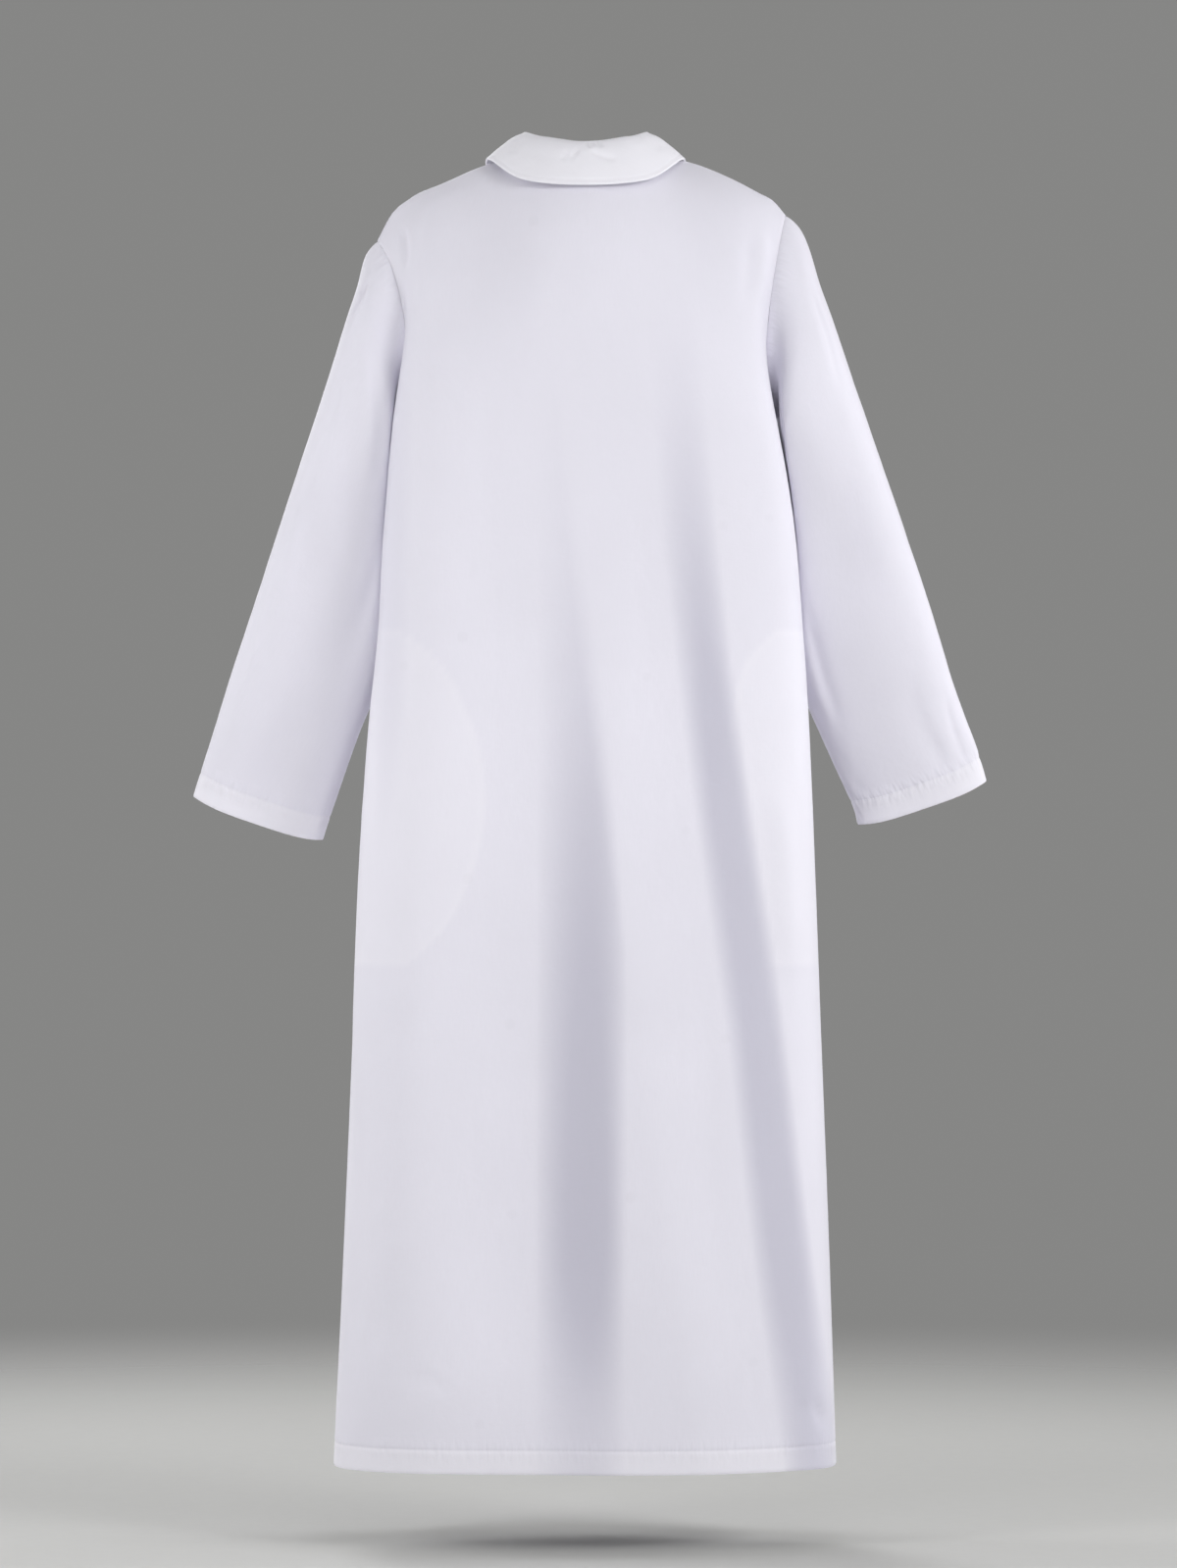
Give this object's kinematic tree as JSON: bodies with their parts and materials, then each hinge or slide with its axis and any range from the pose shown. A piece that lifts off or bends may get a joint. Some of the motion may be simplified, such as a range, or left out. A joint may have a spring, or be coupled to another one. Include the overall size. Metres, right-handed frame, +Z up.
{
  "type": "thobe robe",
  "caption": "Full-length white thobe with set-in long sleeves, turned-down shirt collar, buttoned neck slit and side pockets, in its hollow worn shape.",
  "frame": {"origin": "the middle of the neck opening, level with the tops of the shoulders, where the robe hangs from the wearer's neck and shoulders", "axes": "+Z up from the hem to the collar, the front faces -Y and the back faces +Y, +X is the wearer's left"},
  "size_m": [0.8415, 0.3214, 1.3969],
  "materials": {
    "body_cloth": "fine plain-weave white cotton and polyester cloth, pressed, with a faint sheen",
    "collar_cloth": "the same cloth doubled and fused",
    "pocket_cloth": "plain white pocketing cloth",
    "button_plastic": "smooth white plastic"
  },
  "bodies": {
    "root": {"back_panel": "body_cloth", "front_panel": "body_cloth", "sleeve_left": "body_cloth", "sleeve_right": "body_cloth", "placket": "body_cloth", "collar_stand": "collar_cloth", "collar_fall": "collar_cloth", "pocket_bag_left": "pocket_cloth", "pocket_bag_right": "pocket_cloth", "button_1": "button_plastic", "button_2": "button_plastic", "button_3": "button_plastic", "button_4": "button_plastic", "button_5": "button_plastic"}
  },
  "joints": []
}
